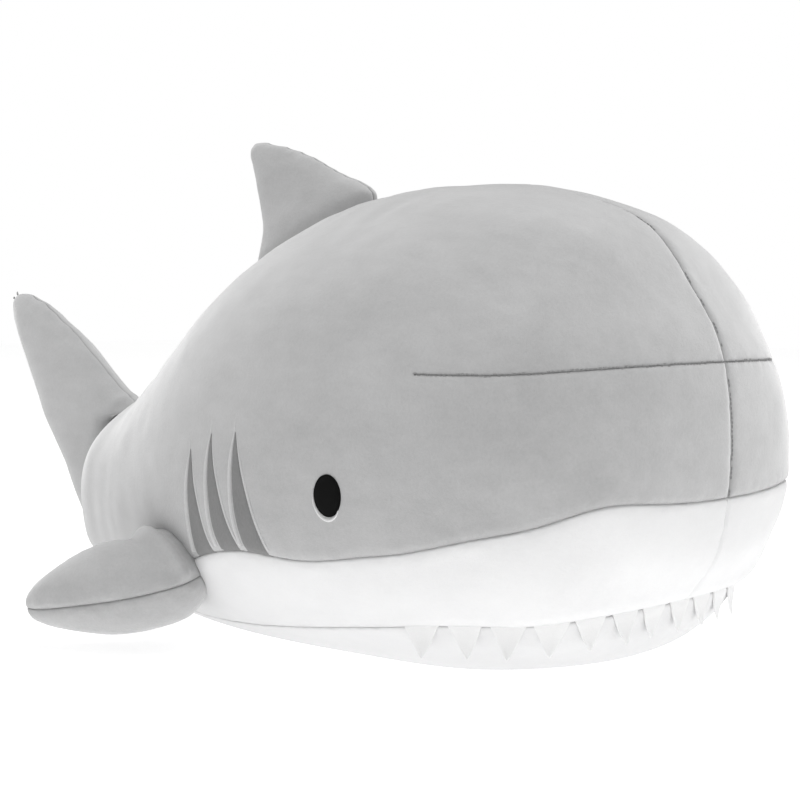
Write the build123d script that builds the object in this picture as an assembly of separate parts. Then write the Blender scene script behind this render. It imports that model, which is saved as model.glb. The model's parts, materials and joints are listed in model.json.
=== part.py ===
from build123d import *
import os
from math import atan, cos, pi, radians, sin

os.makedirs("parts", exist_ok=True)

# A stuffed toy shark that rests on its belly. Millimetres, +Z up, nose towards -Y, tail towards +Y, and
# the shark's right side on -X. The floor is Z = 0, and Y = 0 is halfway along the whole toy.

# ---- driving dimensions ----
body_length = 492.0  # nose to the stump that carries the tail fin
body_height = 270.0  # floor to the highest point of the back
body_width = 292.0
tail_reach = 108.0  # stump to the tip of the tail fin
fabric = 2.0  # short-pile plush, one layer with its backing
felt = 1.2  # stiff felt of the teeth
applique = 0.8  # how far the eye patches stand proud of the plush

eye_width = 19.0
eye_height = 24.0
eye_border = 1.4  # satin-stitched rim
eye_back = 154.0  # nose to the middle of the eye
eye_above_floor = 101.0

gill_count = 3
gill_width = 20.0
gill_height = 66.0
gill_gap = 2.0  # plush left between one gill's foot and the next
gill_back = 226.0  # nose to the top of the front gill
gill_above_floor = 130.7  # top of each gill

tooth_count = 15
tooth_width = 20.0
tooth_length = 15.0
tooth_pitch = 24.5

# Each fin: `root` is half its root's length, `thick` half its thickness there, `rise` how far it stands off
# the body and `trail` how far its tip lies behind the middle of its root.
dorsal_root = 57.0
dorsal_thick = 17.0
dorsal_rise = 87.0
dorsal_trail = 22.0
dorsal_travel = 20.0  # degrees each way
dorsal_back = 293.0  # nose to the middle of the dorsal fin's root

tail_root = 71.0
tail_thick = 16.0
tail_trail = 98.0  # the tail fin's tip lies this far above the middle of its root
tail_travel = 25.0  # degrees each way
tail_above_floor = 95.0  # middle of the tail fin's root

pectoral_root = 37.0
pectoral_thick = 30.0
pectoral_rise = 73.0
pectoral_trail = 45.0
pectoral_raise = 30.0  # degrees up
pectoral_lower = 15.0  # degrees down
pectoral_droop = 16.0  # how far the fin hangs below level, in degrees
pectoral_back = 304.0  # nose to the middle of the pectoral fin's root
pectoral_above_floor = 42.0

hinge_gap = 0.6  # kept open between a fin's root and the body over the whole travel
root_lift = 1.0  # the hinge lines stand this far off the plush

# ---- the body's outline ----
# Rings from nose to stump: distance from the nose, height of the back, height of the belly, half width and
# height of the widest point, as shares of the body's length, height, height, half width and height.
RINGS = [
    (0.002, 0.556, 0.384, 0.200, 0.457),
    (0.008, 0.630, 0.310, 0.384, 0.448),
    (0.033, 0.739, 0.205, 0.637, 0.426),
    (0.073, 0.848, 0.100, 0.808, 0.404),
    (0.138, 0.941, 0.022, 0.925, 0.389),
    (0.240, 0.993, -0.018, 0.986, 0.381),
    (0.366, 1.000, -0.028, 1.000, 0.378),
    (0.488, 0.967, -0.028, 0.959, 0.367),
    (0.610, 0.872, -0.024, 0.855, 0.352),
    (0.732, 0.708, -0.012, 0.668, 0.333),
    (0.843, 0.556, 0.015, 0.492, 0.311),
    (0.925, 0.485, 0.044, 0.356, 0.293),
    (0.976, 0.415, 0.096, 0.233, 0.278),
]
NOSE_HEIGHT, STUMP_HEIGHT = 0.463, 0.274  # of the end points, as shares of the body's height
BACK_PULL, BELLY_PULL = 0.575, 0.635  # 0.552 makes a quarter of an ellipse, more is squarer

nose_y = -(body_length + tail_reach) / 2
gill_pitch = gill_width + gill_gap
stump_y = nose_y + body_length
BIG = 2 * (body_length + body_width + body_height)


def body_rings(grow):
    """The rings in millimetres, grown outwards by `grow` along the body's own surface."""
    rings = [
        (
            nose_y + body_length * along,
            body_height * back,
            body_height * belly,
            body_width / 2 * half,
            body_height * widest,
        )
        for along, back, belly, half, widest in RINGS
    ]
    girth = [(y, (back - belly + 2 * half) / 4) for y, back, belly, half, _ in rings]
    girth = [(nose_y, 0.0), *girth, (stump_y, 0.0)]
    grown = []
    for place, (y, back, belly, half, widest) in enumerate(rings, start=1):
        before, after = girth[place - 1], girth[place + 1]
        slope = atan((after[1] - before[1]) / (after[0] - before[0]))
        out = grow * cos(slope)
        grown.append((y - grow * sin(slope), back + out, belly - out, half + out, widest))
    return grown


def ring_wire(y, back, belly, half, widest):
    """One closed ring across the body in four quarters, squarer below its widest line than above."""
    quarters = []
    for side in (1, -1):
        for end, pull in ((back, BACK_PULL), (belly, BELLY_PULL)):
            flank = (side * half, y, widest)
            crown = (0, y, end)
            flank_pull = (side * half, y, widest + pull * (end - widest))
            crown_pull = (side * half * pull, y, end)
            quarter = (flank, flank_pull, crown_pull, crown)
            starts_at_flank = (side > 0) == (end == back)
            quarters.append(Bezier(*(quarter if starts_at_flank else reversed(quarter))))
    right_way_round = (quarters[0], quarters[2], quarters[3], quarters[1])
    return Wire([quarter.edge() for quarter in right_way_round])


def body_solid(grow):
    """The stuffed body, grown outwards by `grow` and flat where it rests on the floor."""
    nose = Vertex(0, nose_y - grow, NOSE_HEIGHT * body_height)
    stump = Vertex(0, stump_y + grow, STUMP_HEIGHT * body_height)
    body = Solid.make_loft([nose, *(ring_wire(*ring) for ring in body_rings(grow)), stump])
    above_floor = Pos(0, 0, BIG / 2 - grow) * Box(BIG, BIG, BIG)
    return body & above_floor


def place_on(points, y):
    """Where a smooth line through points, nose to tail, passes y, and its direction there."""
    line = Spline(points)
    low, high = 0.0, 1.0
    for _ in range(40):
        middle = (low + high) / 2
        if (line @ middle).Y < y:
            low = middle
        else:
            high = middle
    return line @ low, line % low


def side_region(line_points, top):
    """Everything above (or below) a seam drawn on the body's side, right through the body."""
    edge = Spline([(0, y, z) for y, z in line_points])
    first, last = line_points[0], line_points[-1]
    limit = BIG if top else -BIG
    rest = Polyline((0, *last), (0, last[0], limit), (0, first[0], limit), (0, *first))
    face = Face(Wire([edge, *rest.edges()]))
    return Pos(-BIG / 2, 0, 0) * extrude(face, amount=BIG, dir=(1, 0, 0))


def mirrored(shape):
    return mirror(shape, about=Plane.YZ)


def write(shape, name):
    shape.label = name
    export_step(shape, f"parts/{name}.step")


RIGHT = Pos(-BIG / 2, 0, 0) * Box(BIG, BIG, BIG)
LEFT = Pos(BIG / 2, 0, 0) * Box(BIG, BIG, BIG)

# ---- seams on the body's side, as shares of the body's length and height ----
COLOUR_SEAM = [
    (-0.05, 0.363), (0.0, 0.367), (0.018, 0.378), (0.039, 0.374), (0.071, 0.348), (0.112, 0.326),
    (0.163, 0.304), (0.222, 0.278), (0.274, 0.263), (0.362, 0.241), (0.455, 0.244), (0.551, 0.211),
    (0.65, 0.150), (0.76, 0.105), (0.87, 0.105), (0.96, 0.135), (1.05, 0.170),
]
MOUTH_SEAM = [
    (-0.02, 0.180), (0.055, 0.167), (0.104, 0.148), (0.163, 0.137), (0.256, 0.122), (0.37, 0.095),
    (0.53, 0.060), (0.70, 0.045), (0.80, 0.040), (0.88, 0.005), (0.96, -0.060),
]


def on_side(shares):
    return [(nose_y + body_length * along, body_height * up) for along, up in shares]


above_colour_seam = side_region(on_side(COLOUR_SEAM), top=True)
below_colour_seam = side_region(on_side(COLOUR_SEAM), top=False)
above_mouth_seam = side_region(on_side(MOUTH_SEAM), top=True)
below_mouth_seam = side_region(on_side(MOUTH_SEAM), top=False)


# ---- fins ----
def fin_sections(kind):
    """A fin's sections from root to tip: rise off the body, middle, half length and half thickness."""
    if kind == "dorsal":
        rise, trail, root, thick = dorsal_rise, dorsal_trail, dorsal_root, dorsal_thick
        shape = [(0, 0, 1, 1), (0.27, 0.02, 0.74, 0.9), (0.48, 0.16, 0.56, 0.72), (0.69, 0.40, 0.39, 0.55),
                 (0.83, 0.65, 0.26, 0.42), (0.94, 0.92, 0.13, 0.26)]
    elif kind == "tail":
        rise, trail, root, thick = tail_reach - root_lift, tail_trail, tail_root, tail_thick
        shape = [(0, 0, 1, 0.95), (0.15, 0.13, 0.95, 1), (0.36, 0.42, 0.76, 0.95), (0.58, 0.65, 0.56, 0.8),
                 (0.78, 0.84, 0.36, 0.6), (0.92, 0.96, 0.19, 0.4)]
    else:
        rise, trail, root, thick = pectoral_rise, pectoral_trail, pectoral_root, pectoral_thick
        shape = [(0, 0, 1, 1), (0.27, 0.18, 1.0, 1.0), (0.57, 0.49, 0.84, 0.84), (0.79, 0.73, 0.57, 0.58),
                 (0.93, 0.89, 0.30, 0.34)]
    sections = [(rise * a, trail * b, root * c, thick * d) for a, b, c, d in shape]
    return sections, (rise, trail)


def fin_solid(root_plane, kind, shrink):
    """A stuffed fin. Its root ends in half a round that turns about the hinge line in the body's recess."""
    sections, (rise, trail) = fin_sections(kind)
    wires = [
        (root_plane.offset(up) * Pos(middle, 0) * Ellipse(long - shrink, thick - shrink)).wire()
        for up, middle, long, thick in sections
    ]
    tip = root_plane.from_local_coords(Vector(trail, 0, rise - 1.5 * shrink))
    blade = Solid.make_loft([*wires, Vertex(*tip)])
    _, _, long, thick = sections[0]
    return blade + (root_round(root_plane, long - shrink, thick - shrink) & below_plane(root_plane))


def root_round(root_plane, half_length, radius):
    """A round spindle along the hinge line."""
    half = Pos(0, radius / 2) * Rectangle(2 * half_length + 2, radius) & Ellipse(half_length, radius)
    return root_plane * revolve(half, Axis.X, 360)


def below_plane(root_plane):
    return root_plane * (Pos(0, 0, -BIG / 2) * Box(BIG, BIG, BIG))


def recess(root_plane, kind, travel):
    """The hollow that a fin's root turns in, wide enough for the fin's sides at the end of its travel."""
    _, _, long, thick = fin_sections(kind)[0][0]
    return root_round(root_plane, long + 2 * hinge_gap, thick / cos(radians(travel)) + hinge_gap)


def fin_pieces(root_plane, kind):
    """The stuffing and the two panels of a fin, which meet along its middle."""
    outer = fin_solid(root_plane, kind, 0)
    stuffing = fin_solid(root_plane, kind, fabric)
    shell = outer - stuffing
    one_side = root_plane * (Pos(0, BIG / 2, 0) * Box(BIG, BIG, BIG))
    other_side = root_plane * (Pos(0, -BIG / 2, 0) * Box(BIG, BIG, BIG))
    return stuffing, shell & one_side, shell & other_side


ring_list = body_rings(0)
back_line = [(0, y, back) for y, back, _, _, _ in ring_list]
side_line = [(-half, y, widest) for y, _, _, half, widest in ring_list]

back_point, back_direction = place_on(back_line, nose_y + dorsal_back)
dorsal_plane = Plane(
    origin=back_point, x_dir=back_direction, z_dir=back_direction.cross(Vector(-1, 0, 0))
).offset(root_lift)

tail_plane = Plane(
    origin=(0, stump_y + root_lift, tail_above_floor), x_dir=(0, 0, 1), z_dir=(0, 1, 0)
)

side_point, side_direction = place_on(side_line, nose_y + pectoral_back)
side_along = Vector(side_direction.X, side_direction.Y, 0).normalized()
straight_out = side_along.cross(Vector(0, 0, -1))
pectoral_out = straight_out * cos(radians(pectoral_droop)) - Vector(0, 0, 1) * sin(radians(pectoral_droop))
pectoral_plane = Plane(
    origin=Vector(side_point.X, side_point.Y, pectoral_above_floor) + straight_out * root_lift,
    x_dir=side_along,
    z_dir=pectoral_out,
)

dorsal_stuffing, dorsal_left, dorsal_right = fin_pieces(dorsal_plane, "dorsal")
tail_stuffing, tail_right, tail_left = fin_pieces(tail_plane, "tail")
pectoral_stuffing, pectoral_upper, pectoral_lower_panel = fin_pieces(pectoral_plane, "pectoral")
if dorsal_left.center().X < 0:
    dorsal_left, dorsal_right = dorsal_right, dorsal_left
if tail_left.center().X < 0:
    tail_left, tail_right = tail_right, tail_left
if pectoral_upper.center().Z < pectoral_lower_panel.center().Z:
    pectoral_upper, pectoral_lower_panel = pectoral_lower_panel, pectoral_upper

pectoral_recess = recess(pectoral_plane, "pectoral", max(pectoral_raise, pectoral_lower))
recesses = [
    recess(dorsal_plane, "dorsal", dorsal_travel),
    recess(tail_plane, "tail", tail_travel),
    pectoral_recess,
    mirrored(pectoral_recess),
]

# ---- body ----
body_outer = body_solid(0)
body_inner = body_solid(-fabric)
body_stuffing = body_inner
skin = body_outer - body_inner
for hollow in recesses:
    skin = skin - hollow
    body_stuffing = body_stuffing - hollow


# ---- gills ----
def gill_outline(place):
    """A gill's slit: a bowed rear edge under the fold of the grey plush, and a hollow front edge."""
    top = Vector(0, nose_y + gill_back + gill_pitch * place, gill_above_floor)
    foot_rear = top + Vector(0, -gill_width * 0.2, -gill_height)
    foot_front = top + Vector(0, -gill_width * 1.2, -gill_height)
    rear = ThreePointArc(top, (top + foot_rear) / 2 + Vector(0, gill_width * 0.2, 0), foot_rear)
    front = ThreePointArc(top, (top + foot_front) / 2 + Vector(0, gill_width * 0.1, 0), foot_front)
    face = Face(Wire([rear, Line(foot_rear, foot_front), front]))
    return extrude(face, amount=-BIG / 2, dir=(1, 0, 0))


gill_wedges = [gill_outline(place) & above_colour_seam for place in range(gill_count)]
back_right = skin & above_colour_seam & RIGHT
gills_right = []
for wedge in gill_wedges:
    gills_right.append(back_right & wedge)
    back_right = back_right - wedge
back_left = mirrored(back_right)
lip_right = skin & below_colour_seam & above_mouth_seam & RIGHT
lip_left = mirrored(lip_right)
belly = skin & below_mouth_seam


# ---- eyes ----
def eye_prism(grow, shift=0.0):
    """An upright oval through the right side of the head."""
    place = (0, nose_y + eye_back + shift * 0.5, eye_above_floor + shift)
    middle = Plane(origin=place, x_dir=(0, 1, 0), z_dir=(-1, 0, 0))
    oval = middle * Ellipse(eye_width / 2 + grow, eye_height / 2 + grow)
    return extrude(oval, amount=BIG / 2, dir=(-1, 0, 0))


eye_layer = body_solid(applique) - body_outer
eye_shine_width = eye_width / 14
eye_black = eye_layer & eye_prism(0)
eye_shine = (eye_black - eye_prism(-eye_shine_width / 2, eye_shine_width / 2)) & (
    Pos(0, nose_y + eye_back + BIG / 2, eye_above_floor - BIG / 2) * Box(BIG, BIG, BIG)
)
eye_black = eye_black - eye_shine
eye_rim = eye_layer & (eye_prism(eye_border) - eye_prism(0))

# ---- teeth ----
mouth_half_width = body_width * 0.41
mouth_depth = body_length * 0.21
mouth_back_y = nose_y + body_length * 0.256
MOUTH_FULLNESS = 2.4
mouth_points = []
for step in range(13):
    angle = -pi / 2 + pi * step / 12
    across = abs(sin(angle)) ** (2 / MOUTH_FULLNESS) * (1 if angle > 0 else -1)
    ahead = abs(cos(angle)) ** (2 / MOUTH_FULLNESS)
    mouth_points.append((mouth_half_width * across, mouth_back_y - mouth_depth * ahead, 0))
mouth_bend = Spline(mouth_points)
straight = Vector(0, tooth_count * tooth_pitch / 2, 0)
mouth_line = Wire([
    Line(mouth_bend @ 0 + straight, mouth_bend @ 0),
    mouth_bend,
    Line(mouth_bend @ 1, mouth_bend @ 1 + straight),
])
tooth_layer = (body_solid(felt) - body_outer) & below_mouth_seam


def tooth(number):
    """One pointed tooth that hangs from the mouth seam against the chin."""
    along = 0.5 + (number - (tooth_count - 1) / 2) * tooth_pitch / mouth_line.length
    foot = mouth_line @ along
    sideways = (mouth_line % along).normalized()
    outwards = sideways.cross(Vector(0, 0, 1))
    seam, _ = place_on([(0, y, z) for y, z in on_side(MOUTH_SEAM)], foot.Y)
    gum, tip = seam.Z + tooth_length, seam.Z - tooth_length
    spread = tooth_width / 2 * (gum - tip) / tooth_length
    corners = [
        Vector(foot.X, foot.Y, tip),
        Vector(foot.X, foot.Y, gum) + sideways * spread,
        Vector(foot.X, foot.Y, gum) - sideways * spread,
    ]
    inner = -outwards * mouth_half_width * 0.5
    face = Face(Wire(Polyline(*(corner + inner for corner in corners), close=True).edges()))
    return tooth_layer & extrude(face, amount=mouth_half_width, dir=outwards)


# ---- files ----
write(back_right, "back_panel_right")
write(back_left, "back_panel_left")
write(lip_right, "lip_panel_right")
write(lip_left, "lip_panel_left")
write(belly, "belly_panel")
write(body_stuffing, "body_stuffing")
for place, gill in enumerate(gills_right, start=1):
    write(gill, f"gill_insert_right_{place}")
    write(mirrored(gill), f"gill_insert_left_{place}")
for name, piece in (("patch", eye_black), ("shine", eye_shine), ("border", eye_rim)):
    write(piece, f"eye_{name}_right")
    write(mirrored(piece), f"eye_{name}_left")
for number in range(tooth_count):
    write(tooth(number), f"felt_tooth_{number + 1:02d}")
write(dorsal_stuffing, "dorsal_fin_stuffing")
write(dorsal_right, "dorsal_fin_panel_right")
write(dorsal_left, "dorsal_fin_panel_left")
write(tail_stuffing, "tail_fin_stuffing")
write(tail_right, "tail_fin_panel_right")
write(tail_left, "tail_fin_panel_left")
for piece, name in (
    (pectoral_stuffing, "stuffing"),
    (pectoral_upper, "upper_panel"),
    (pectoral_lower_panel, "lower_panel"),
):
    write(piece, f"pectoral_fin_right_{name}")
    write(mirrored(piece), f"pectoral_fin_left_{name}")
for name, plane in (("dorsal", dorsal_plane), ("tail", tail_plane), ("pectoral", pectoral_plane)):
    print(f"{name} fin's hinge line: through {plane.origin}, along {plane.x_dir}")
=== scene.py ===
"""A stuffed toy shark: short-pile plush panels over a soft filling, felt teeth and embroidered eyes."""
import json
import math

import bmesh
import bpy
import numpy as np
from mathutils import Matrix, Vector, kdtree, noise
from mathutils.bvhtree import BVHTree


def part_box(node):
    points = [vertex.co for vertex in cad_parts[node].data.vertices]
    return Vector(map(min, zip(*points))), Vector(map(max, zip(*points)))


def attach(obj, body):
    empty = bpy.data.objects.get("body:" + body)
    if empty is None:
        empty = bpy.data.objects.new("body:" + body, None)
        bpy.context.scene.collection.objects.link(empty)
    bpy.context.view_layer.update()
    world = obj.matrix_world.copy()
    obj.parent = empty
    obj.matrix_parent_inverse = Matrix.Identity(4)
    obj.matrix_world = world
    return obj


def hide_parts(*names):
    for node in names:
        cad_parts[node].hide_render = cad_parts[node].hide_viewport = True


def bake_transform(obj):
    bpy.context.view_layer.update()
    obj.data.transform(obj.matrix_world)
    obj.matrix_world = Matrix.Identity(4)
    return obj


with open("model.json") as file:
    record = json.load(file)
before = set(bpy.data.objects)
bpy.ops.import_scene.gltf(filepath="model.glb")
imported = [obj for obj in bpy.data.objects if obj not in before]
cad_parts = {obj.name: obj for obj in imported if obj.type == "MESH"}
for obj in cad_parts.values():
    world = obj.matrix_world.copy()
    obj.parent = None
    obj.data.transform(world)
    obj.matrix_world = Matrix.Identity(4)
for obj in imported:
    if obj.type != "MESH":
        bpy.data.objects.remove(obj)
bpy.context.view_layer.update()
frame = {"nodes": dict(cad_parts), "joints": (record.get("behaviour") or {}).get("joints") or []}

MM = 0.001
joints = {joint["name"]: joint for joint in frame["joints"]}

# ---- the body's size, read from the frame ----
nose_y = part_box("back_panel_right")[0].y
half_width = -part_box("back_panel_right")[0].x
back_height = 0.99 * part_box("back_panel_right")[1].z  # the loft rises a little above its rings
stump_y = joints["tail_fin_swing"]["pos_m"][1] - 1 * MM
body_length = stump_y - nose_y

# Rings from nose to stump: distance from the nose, height of the back, height of the belly, half width and
# height of the widest point, as shares of the body's length, height, height, half width and height.
RINGS = np.array([
    (0.008, 0.630, 0.310, 0.384, 0.448),
    (0.033, 0.739, 0.205, 0.637, 0.426),
    (0.073, 0.848, 0.100, 0.808, 0.404),
    (0.138, 0.941, 0.022, 0.925, 0.389),
    (0.240, 0.993, -0.018, 0.986, 0.381),
    (0.366, 1.000, -0.028, 1.000, 0.378),
    (0.488, 0.967, -0.028, 0.959, 0.367),
    (0.610, 0.872, -0.024, 0.855, 0.352),
    (0.732, 0.708, -0.012, 0.668, 0.333),
    (0.843, 0.556, 0.015, 0.492, 0.311),
    (0.925, 0.485, 0.044, 0.356, 0.293),
    (0.976, 0.415, 0.096, 0.233, 0.278),
])
NOSE_HEIGHT, STUMP_HEIGHT = 0.463, 0.274
BACK_FULLNESS, BELLY_FULLNESS = 2.12, 2.35

# Seams drawn on the body's side, as shares of its length and height.
COLOUR_SEAM = [
    (-0.05, 0.363), (0.0, 0.367), (0.018, 0.378), (0.039, 0.374), (0.071, 0.348), (0.112, 0.326),
    (0.163, 0.304), (0.222, 0.278), (0.274, 0.263), (0.362, 0.241), (0.455, 0.244), (0.551, 0.211),
    (0.65, 0.150), (0.76, 0.105), (0.87, 0.105), (0.96, 0.135), (1.05, 0.170),
]
MOUTH_SEAM = [
    (-0.02, 0.163), (0.055, 0.154), (0.104, 0.142), (0.163, 0.134), (0.256, 0.122), (0.37, 0.095),
    (0.53, 0.060), (0.70, 0.045), (0.80, 0.040), (0.88, 0.005), (0.96, -0.060),
]
DART_END = 0.218
DART_SEAM = [(-0.05, 0.640), (0.0, 0.638), (0.05, 0.630), (0.10, 0.622), (0.17, 0.618), (DART_END, 0.618)]
MOUTH_CORNER_Y = nose_y + 0.262 * body_length


def spline(places, values):
    """A natural cubic through values at places, as a function that also takes arrays."""
    x, y = np.asarray(places, float), np.asarray(values, float)
    step, rise = np.diff(x), np.diff(y)
    rows, right = np.eye(len(x)), np.zeros(len(x))
    for i in range(1, len(x) - 1):
        rows[i, i - 1:i + 2] = step[i - 1], 2 * (step[i - 1] + step[i]), step[i]
        right[i] = 6 * (rise[i] / step[i] - rise[i - 1] / step[i - 1])
    bend = np.linalg.solve(rows, right)

    def at(where):
        i = np.clip(np.searchsorted(x, where) - 1, 0, len(x) - 2)
        a, b = x[i + 1] - where, where - x[i]
        h = step[i]
        return (bend[i] * a**3 + bend[i + 1] * b**3) / (6 * h) + (y[i] / h - bend[i] * h / 6) * a + (
            y[i + 1] / h - bend[i + 1] * h / 6) * b

    return at


def side_seam(shares):
    """The height of a side seam at a distance along the body."""
    along, up = np.array(shares).T
    return spline(nose_y + along * body_length, up * back_height)


colour_seam, mouth_seam, dart_seam = side_seam(COLOUR_SEAM), side_seam(MOUTH_SEAM), side_seam(DART_SEAM)

along = 2 * RINGS[:, 0] - 1
swell = np.sqrt(1 - along**2)
axis_share = spline(np.r_[-1, along, 1], np.r_[NOSE_HEIGHT, RINGS[:, 4], STUMP_HEIGHT])
back_share = spline(along, (RINGS[:, 1] - RINGS[:, 4]) / swell)
belly_share = spline(along, (RINGS[:, 4] - RINGS[:, 2]) / swell)
half_share = spline(along, RINGS[:, 3] / swell)


SETTLE = 3 * MM  # the height over which the belly flattens on the floor


def body_points(direction):
    """The stuffed body's surface in each direction from a ball's middle."""
    t = np.clip(direction[:, 1], -1, 1)
    round_ = np.sqrt(1 - t**2)
    flat = np.maximum(round_, 1e-9)
    across, up = direction[:, 0] / flat, direction[:, 2] / flat
    above = up > 0
    power = np.where(above, 2 / BACK_FULLNESS, 2 / BELLY_FULLNESS)
    reach = np.where(above, back_share(t), belly_share(t)) * back_height
    x = np.sign(across) * np.abs(across)**power * half_share(t) * half_width * round_
    z = axis_share(t) * back_height + np.sign(up) * np.abs(up)**power * reach * round_
    z = (z + np.sqrt(z**2 + SETTLE**2)) / 2
    return np.stack([x, nose_y + (t + 1) / 2 * body_length, z], 1)


# ---- small helpers ----
def mesh_points(mesh):
    points = np.empty(len(mesh.vertices) * 3)
    mesh.vertices.foreach_get("co", points)
    return points.reshape(-1, 3)


def set_points(mesh, points):
    mesh.vertices.foreach_set("co", np.asarray(points, np.float32).ravel())
    mesh.update()


def mesh_normals(mesh):
    normals = np.empty(len(mesh.vertices) * 3)
    mesh.vertex_normals.foreach_get("vector", normals)
    return normals.reshape(-1, 3)


def select_only(piece):
    bpy.ops.object.select_all(action="DESELECT")
    piece.select_set(True)
    bpy.context.view_layer.objects.active = piece


def apply_modifier(piece, kind, **settings):
    select_only(piece)
    modifier = piece.modifiers.new(kind.title(), kind)
    for name, value in settings.items():
        setattr(modifier, name, value)
    bpy.ops.object.modifier_apply(modifier=modifier.name)


def new_piece(name, mesh, material=None):
    piece = bpy.data.objects.new(name, mesh)
    bpy.context.scene.collection.objects.link(piece)
    if material:
        mesh.materials.append(material)
    for face in mesh.polygons:
        face.use_smooth = True
    return piece


def mesh_of(name, points, faces, material=None):
    mesh = bpy.data.meshes.new(name)
    mesh.from_pydata([tuple(p) for p in points], [], faces)
    mesh.validate()
    return new_piece(name, mesh, material)


def smooth_step(low, high, x):
    t = np.clip((x - low) / (high - low), 0, 1)
    return t * t * (3 - 2 * t)


def lumps(points, size, seed):
    """Soft random values, one for each point, that change over `size`."""
    shift = Vector((seed * 7.3, seed * 3.1, seed * 5.7))
    return np.array([noise.noise(Vector(p) / size + shift) for p in points])


def ball(name, cells):
    """A closed ball of even four-sided faces."""
    bpy.ops.object.select_all(action="DESELECT")
    bpy.ops.mesh.primitive_cube_add(size=2)
    piece = bpy.context.object
    piece.name = name
    bpy.ops.object.mode_set(mode="EDIT")
    bpy.ops.mesh.select_all(action="SELECT")
    bpy.ops.mesh.subdivide(number_cuts=cells - 1)
    bpy.ops.object.mode_set(mode="OBJECT")
    points = np.tan(mesh_points(piece.data) * math.pi / 4)
    points /= np.linalg.norm(points, axis=1)[:, None]
    set_points(piece.data, points)
    return piece


def puff(piece, held, pressure, most, frames):
    """Blows the cloth out from inside, held where `held` is 1, by no more than `most`."""
    start = mesh_points(piece.data)
    group = piece.vertex_groups.new(name="sewn")
    for index, weight in enumerate(held):
        if weight > 0.01:
            group.add([index], float(weight), "REPLACE")
    cloth = piece.modifiers.new("Cloth", "CLOTH")
    settings = cloth.settings
    settings.quality = 4
    settings.use_pressure = True
    settings.uniform_pressure_force = pressure
    settings.effector_weights.gravity = 0
    settings.vertex_group_mass = group.name
    settings.tension_stiffness = settings.compression_stiffness = 20
    settings.shear_stiffness = 10
    scene = bpy.context.scene
    for number in range(1, frames + 1):
        scene.frame_set(number)
    select_only(piece)
    bpy.ops.object.modifier_apply(modifier=cloth.name)
    scene.frame_set(1)
    moved = mesh_points(piece.data) - start
    far = np.linalg.norm(moved, axis=1)
    moved *= np.minimum(1, most / np.maximum(far, 1e-9))[:, None]
    set_points(piece.data, start + moved)


# ---- cutting cloth along seams ----
def cut_along(work, field, slack):
    """Puts an unbroken run of edges where the field is zero, and returns them.

    Corners closer to it than `slack` move onto it.
    """
    work.normal_update()
    verts = list(work.verts)
    points = np.array([v.co[:] for v in verts])
    values = field(points)
    tiny = 1e-5
    slopes = np.stack([(field(points + np.eye(3)[i] * tiny) - values) / tiny for i in range(3)], 1)
    normals = np.array([v.normal[:] for v in verts])
    slopes -= (slopes * normals).sum(1)[:, None] * normals
    steep = np.maximum((slopes**2).sum(1), 1e-4)
    near = np.abs(values) / np.sqrt(steep) < slack
    step = -(values / steep)[:, None] * slopes
    for i in np.flatnonzero(near):
        verts[i].co += Vector(step[i])
        values[i] = 0.0
    value = {v: values[i] for i, v in enumerate(verts)}
    for edge in list(work.edges):
        a, b = edge.verts
        if value[a] * value[b] < 0:
            _, vert = bmesh.utils.edge_split(edge, a, value[a] / (value[a] - value[b]))
            value[vert] = 0.0
    on_seam = [v for v in work.verts if value[v] == 0.0]
    bmesh.ops.connect_verts(work, verts=on_seam)
    zero = set(on_seam)
    return [e for e in work.edges if e.verts[0] in zero and e.verts[1] in zero]


def seam_tree(lines):
    """The points along some edges, close together, ready for measuring how far away they are."""
    points = []
    for a, b in lines:
        points += [a, (a * 3 + b) / 4, (a + b) / 2, (a + b * 3) / 4, b]
    tree = kdtree.KDTree(len(points))
    for index, point in enumerate(points):
        tree.insert(point, index)
    tree.balance()
    return tree


def distances(tree, points):
    return np.array([tree.find(p)[2] for p in points])


def refine(work, tree, reach):
    """Halves the faces that lie within `reach` of a seam."""
    edges = [
        e for e in work.edges
        if tree.find((e.verts[0].co + e.verts[1].co) / 2)[2] < reach and e.calc_length() > 0.5 * MM
    ]
    bmesh.ops.subdivide_edges(work, edges=edges, cuts=1, use_grid_fill=True)
    ragged = [f for f in work.faces if len(f.verts) > 4]
    bmesh.ops.triangulate(work, faces=ragged)


def roll(distance, radius):
    """1 on a seam and 0 a radius away, with the round shoulder of cloth that turns in to its stitches."""
    q = np.clip(distance / radius, 0, 1)
    return 1 - np.sqrt(1 - (1 - q)**2)


def paint_seam_shade(mesh, amount):
    """Stores painted shade: how far down in a seam each point lies, for the plush to be painted darker there
    as if in shade.
    """
    values = mesh.attributes.new("painted_seam_shade", "FLOAT", "POINT").data
    values.foreach_set("value", np.asarray(amount, np.float32))


def keep_faces(source, name, wanted, material):
    """A new piece from the faces of a mesh that `wanted` picks, by their middles."""
    mesh = source.data.copy()
    mesh.name = name
    work = bmesh.new()
    work.from_mesh(mesh)
    work.faces.ensure_lookup_table()
    middles = np.array([f.calc_center_median()[:] for f in work.faces])
    pick = wanted(middles)
    bmesh.ops.delete(work, geom=[f for f, keep in zip(work.faces, pick) if not keep], context="FACES")
    work.to_mesh(mesh)
    work.free()
    mesh.materials.clear()
    return new_piece(name, mesh, material)


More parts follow.
